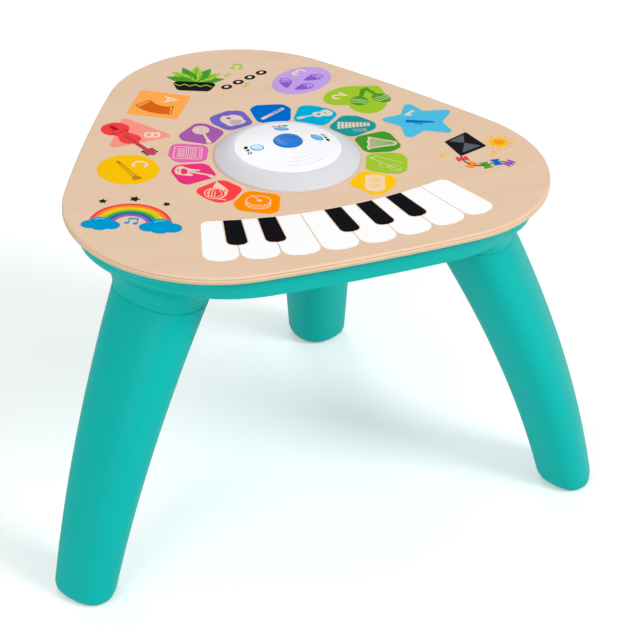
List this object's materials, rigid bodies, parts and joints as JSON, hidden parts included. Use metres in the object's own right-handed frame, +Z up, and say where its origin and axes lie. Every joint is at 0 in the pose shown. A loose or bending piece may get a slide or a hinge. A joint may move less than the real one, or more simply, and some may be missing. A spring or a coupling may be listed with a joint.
{
  "type": "musical activity table",
  "caption": "Toddler's musical activity table: rounded three-sided plywood top with printed keyboard and touch pads, domed sound console, teal housing and three curved legs.",
  "frame": {"origin": "on the floor at the middle of the bounding box, under the play surface", "axes": "+Z up, -Y towards the keyboard side, +X to the right of a player at the keyboard"},
  "size_m": [0.5352, 0.4216, 0.3383],
  "materials": {
    "teal": "satin",
    "plywood": "satin",
    "white_plastic": "gloss",
    "grey_plastic": "satin",
    "blue_plastic": "gloss",
    "lens": "clear",
    "ink_white": "printed",
    "ink_black": "printed",
    "ink_colours": "printed",
    "dark_plastic": "matte",
    "silicone": "matte",
    "circuit_board": "satin",
    "film": "satin",
    "steel": "plated",
    "nickel": "plated",
    "paper_cone": "matte",
    "foam": "foam",
    "cell_label": "printed",
    "wire_cover": "satin"
  },
  "bodies": {
    "table": {"top_panel": "plywood", "white_key_prints": "ink_white", "black_key_prints": "ink_black", "instrument_pad_prints": "ink_colours", "shape_prints": "ink_colours", "base_housing": "teal", "leg_left": "teal", "leg_right": "teal", "leg_rear": "teal", "console_ring": "grey_plastic", "console_dome": "white_plastic", "button_spring": "silicone", "indicator_lenses": "lens", "console_board": "circuit_board", "tact_switch": "dark_plastic", "indicator_leds": "white_plastic", "console_board_screws": "steel", "console_clamp": "white_plastic", "console_clamp_screws": "steel", "touch_film": "film", "film_ribbon": "film", "main_board": "circuit_board", "board_parts": "dark_plastic", "board_screws": "steel", "speaker_gasket": "foam", "speaker_frame": "steel", "speaker_cone": "paper_cone", "speaker_magnet": "nickel", "speaker_screws": "steel", "battery_box": "dark_plastic", "battery_cells": "cell_label", "battery_contacts": "nickel", "battery_box_screws": "steel", "volume_switch": "dark_plastic", "switch_screws": "steel", "housing_screws": "steel", "battery_wires": "wire_cover", "speaker_wires": "wire_cover", "console_wires": "wire_cover", "switch_wires": "wire_cover"},
    "button": {"mode_button": "blue_plastic"},
    "door": {"battery_door": "teal"},
    "door_screw": {"battery_door_screw": "steel"},
    "knob": {"volume_knob": "white_plastic"}
  },
  "joints": [
    {"name": "mode_button_press", "type": "slide", "parent": "table", "child": "button", "axis": [0, 0, -1], "range_m": [0, 0.0015], "stiffness_N_per_m": 1500, "springref_m": -0.0005, "deforming": ["button_spring"]},
    {"name": "volume_switch_slide", "type": "slide", "parent": "table", "child": "knob", "axis": [1, 0, 0], "range_m": [0, 0.008]},
    {"name": "battery_door_hinge", "type": "hinge", "parent": "table", "child": "door", "pos_m": [-0.03235, -0.1132, 0.2925], "axis": [0, 1, 0], "range_deg": [0, 95]},
    {"name": "battery_screw_turn", "type": "hinge", "parent": "door", "child": "door_screw", "pos_m": [0.03635, -0.1132, 0.2925], "axis": [0, 0, 1], "continuous": true}
  ]
}
